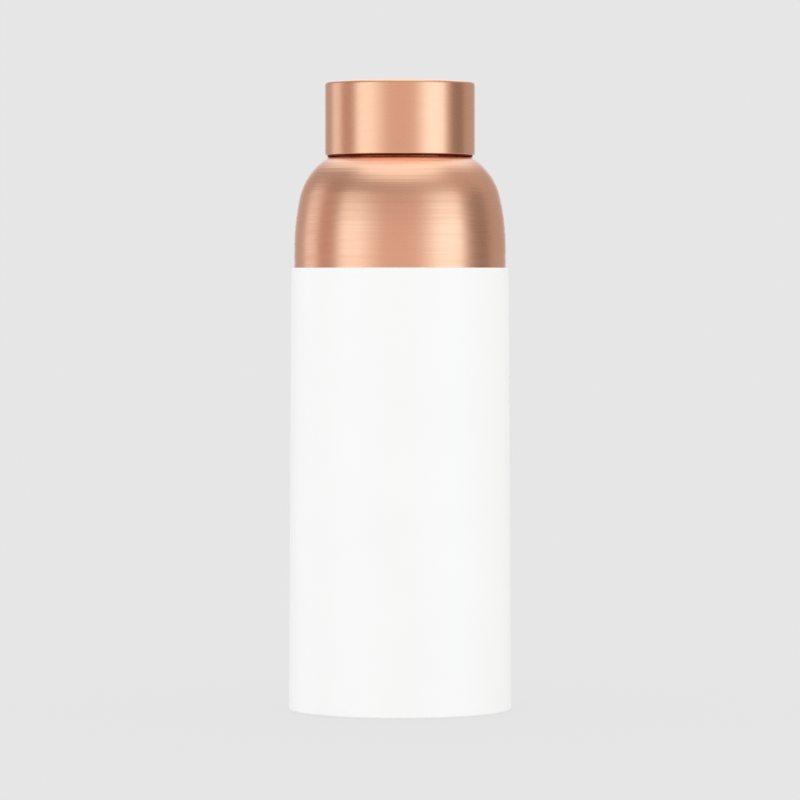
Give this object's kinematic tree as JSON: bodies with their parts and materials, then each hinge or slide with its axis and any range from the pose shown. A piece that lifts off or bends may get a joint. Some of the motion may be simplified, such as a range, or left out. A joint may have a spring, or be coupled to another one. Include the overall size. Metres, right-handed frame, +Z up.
{
  "type": "copper water bottle",
  "caption": "Single-wall copper water bottle with a domed shoulder, a threaded mouth under a plain drum screw cap, and a white slip-on sleeve that makes its foot.",
  "frame": {"origin": "on the bottle's axis, at the underside of the foot it stands on", "axes": "+Z up along the bottle's axis, +X any side, +Y completing a right-handed set"},
  "size_m": [0.0736, 0.0736, 0.2075],
  "materials": {
    "brushed_copper": "copper, brushed round the axis",
    "inner_copper": "copper, plain spun",
    "neck_copper": "copper, machined",
    "white_silicone": "soft matt white",
    "brown_plastic": "fine moulded grain",
    "pad_foam": "closed-cell foam",
    "clear_silicone": "translucent, satin"
  },
  "bodies": {
    "vessel": {"shoulder_dome": "brushed_copper", "body_tube": "inner_copper", "base_pan": "inner_copper", "neck_ring": "neck_copper", "white_sleeve": "white_silicone"},
    "seal": {"cap_gasket": "clear_silicone", "cap_liner": "inner_copper"},
    "cap": {"cap_shell": "brushed_copper", "cap_insert": "brown_plastic", "cap_pad": "pad_foam"}
  },
  "joints": [
    {"name": "cap_rise", "type": "slide", "parent": "vessel", "child": "seal", "axis": [0, 0, 1], "range_m": [0, 0.025]},
    {"name": "cap_turn", "type": "hinge", "parent": "seal", "child": "cap", "pos_m": [0, 0, 0], "axis": [0, 0, 1], "range_deg": [0, 1800]}
  ],
  "couplings": [
    {"joint": "cap_rise", "follows": "cap_turn", "m_per_rad": 0.00079577}
  ]
}
